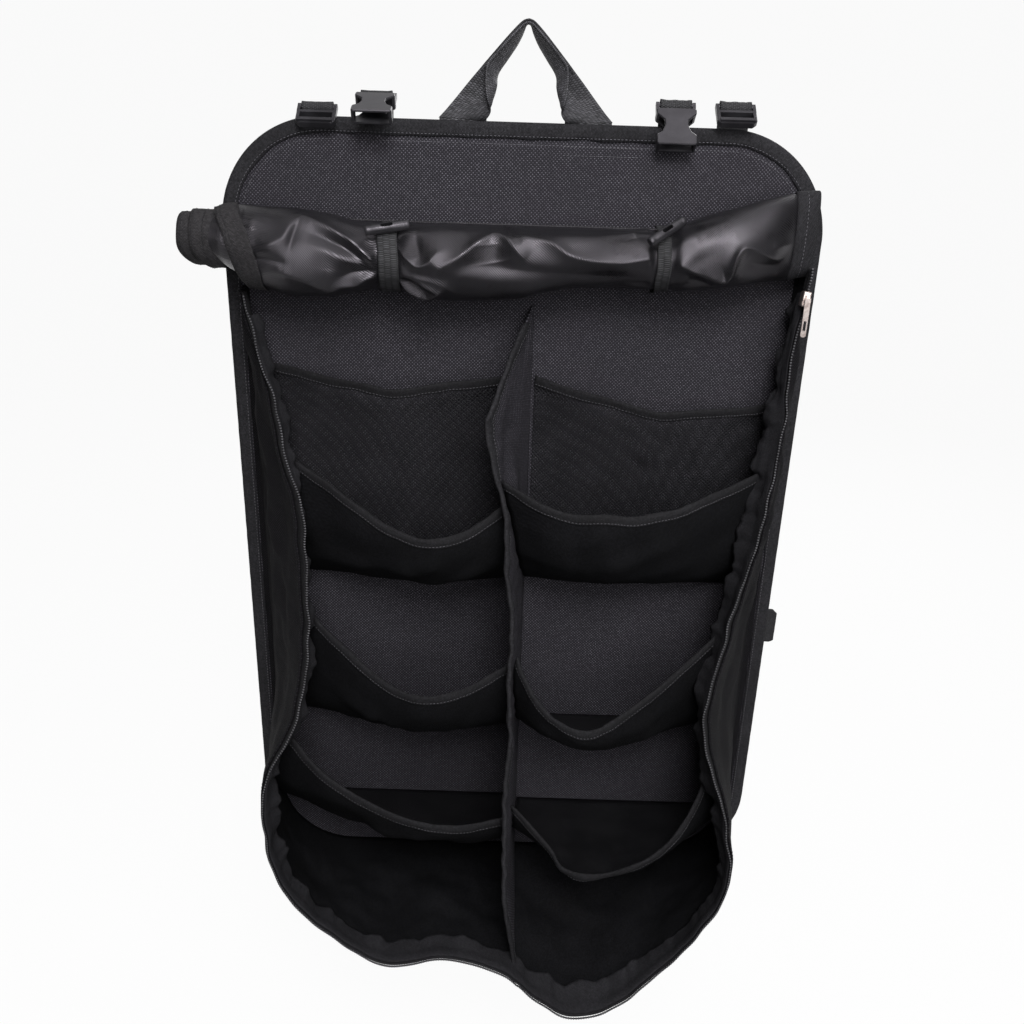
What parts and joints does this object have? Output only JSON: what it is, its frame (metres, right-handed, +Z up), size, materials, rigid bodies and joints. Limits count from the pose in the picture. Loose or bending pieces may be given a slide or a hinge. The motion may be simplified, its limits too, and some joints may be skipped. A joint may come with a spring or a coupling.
{
  "type": "hanging storage bag",
  "caption": "Hanging storage bag: padded back panel, zipped front compartment with hammock and mesh pockets, rolled and tied flap, webbing handle and strap buckles.",
  "frame": {"origin": "the point inside the handle's apex that a nail or hook holds, midway across the bag", "axes": "+X to the right seen from the front, -Y out of the open front, +Z up"},
  "size_m": [0.5344, 0.2001, 0.8354],
  "materials": {
    "ballistic_fabric": "matt, coarse basket weave, slightly purple black",
    "lining_fabric": "matt, fine plain weave, black",
    "binding_tape": "matt ribbed tape, black",
    "coated_fabric": "smooth half-gloss coating, black",
    "mesh_fabric": "open knitted net, black",
    "webbing": "ribbed woven webbing, black",
    "moulded_plastic": "fine satin moulding, black",
    "zip_coil": "spiral coil, black",
    "plated_metal": "worn satin plating"
  },
  "bodies": {
    "bag": {"back_binding": "binding_tape", "back_panel": "ballistic_fabric", "buckle_loop_left": "webbing", "buckle_loop_right": "webbing", "center_divider": "ballistic_fabric", "divider_binding": "binding_tape", "flap_seam": "coated_fabric", "gusset_floor": "ballistic_fabric", "gusset_left": "ballistic_fabric", "gusset_right": "ballistic_fabric", "handle_anchor_left": "webbing", "handle_anchor_right": "webbing", "ladder_loop_left": "webbing", "ladder_loop_right": "webbing", "mesh_binding_left": "binding_tape", "mesh_binding_right": "binding_tape", "mesh_pocket_left": "mesh_fabric", "mesh_pocket_right": "mesh_fabric", "pocket_binding_left_lower": "binding_tape", "pocket_binding_left_middle": "binding_tape", "pocket_binding_left_upper": "binding_tape", "pocket_binding_right_lower": "binding_tape", "pocket_binding_right_middle": "binding_tape", "pocket_binding_right_upper": "binding_tape", "pocket_left_lower": "lining_fabric", "pocket_left_middle": "lining_fabric", "pocket_left_upper": "lining_fabric", "pocket_right_lower": "lining_fabric", "pocket_right_middle": "lining_fabric", "pocket_right_upper": "lining_fabric", "side_tab_right": "webbing", "zip_facing_left": "lining_fabric", "zip_facing_right": "lining_fabric", "zipper_coil": "zip_coil", "zipper_tape": "binding_tape"},
    "carry_handle": {"carry_handle": "webbing"},
    "flap_roll": {"flap_roll": "coated_fabric", "flap_end_binding_left": "binding_tape", "flap_end_binding_right": "binding_tape", "tie_strap_left": "webbing", "tie_strap_right": "webbing"},
    "toggle_left": {"toggle_left": "moulded_plastic"},
    "toggle_right": {"toggle_right": "moulded_plastic"},
    "buckle_left": {"buckle_left": "moulded_plastic"},
    "buckle_right": {"buckle_right": "moulded_plastic"},
    "ladder_lock_left": {"ladder_lock_left": "moulded_plastic"},
    "ladder_lock_right": {"ladder_lock_right": "moulded_plastic"},
    "zipper_slider": {"zipper_slider": "plated_metal"},
    "zipper_puller": {"zipper_puller": "plated_metal"}
  },
  "joints": [
    {"name": "handle_hinge", "type": "hinge", "parent": "bag", "child": "carry_handle", "pos_m": [0, 0.0073, -0.06878], "axis": [1, 0, 0], "range_deg": [-80, 80]},
    {"name": "flap_hinge", "type": "hinge", "parent": "bag", "child": "flap_roll", "pos_m": [0, -0.0042, -0.146], "axis": [-1, 0, 0], "range_deg": [0, 35]},
    {"name": "toggle_left_turn", "type": "hinge", "parent": "flap_roll", "child": "toggle_left", "pos_m": [-0.1045, -0.06092, -0.14933], "axis": [0, -0.6898, 0.724], "range_deg": [-90, 90]},
    {"name": "toggle_right_turn", "type": "hinge", "parent": "flap_roll", "child": "toggle_right", "pos_m": [0.1115, -0.06301, -0.14528], "axis": [0, -0.7404, 0.6721], "range_deg": [-90, 90]},
    {"name": "buckle_left_hinge", "type": "hinge", "parent": "bag", "child": "buckle_left", "pos_m": [-0.119, 0.0039, -0.056], "axis": [-1, 0, 0], "range_deg": [-30, 90]},
    {"name": "buckle_right_hinge", "type": "hinge", "parent": "bag", "child": "buckle_right", "pos_m": [0.119, 0.0039, -0.056], "axis": [-1, 0, 0], "range_deg": [0, 120]},
    {"name": "ladder_lock_left_hinge", "type": "hinge", "parent": "bag", "child": "ladder_lock_left", "pos_m": [-0.1665, 0.0039, -0.0655], "axis": [-1, 0, 0], "range_deg": [0, 90]},
    {"name": "ladder_lock_right_hinge", "type": "hinge", "parent": "bag", "child": "ladder_lock_right", "pos_m": [0.1665, 0.0039, -0.056], "axis": [-1, 0, 0], "range_deg": [-20, 90]},
    {"name": "slider_travel", "type": "slide", "parent": "bag", "child": "zipper_slider", "axis": [-0.1544, -0.1506, -0.9765], "range_m": [0, 0.015]},
    {"name": "puller_hinge", "type": "hinge", "parent": "zipper_slider", "child": "zipper_puller", "pos_m": [0.22989, -0.05181, -0.19564], "axis": [-1, 0, 0], "range_deg": [0, 100]}
  ]
}
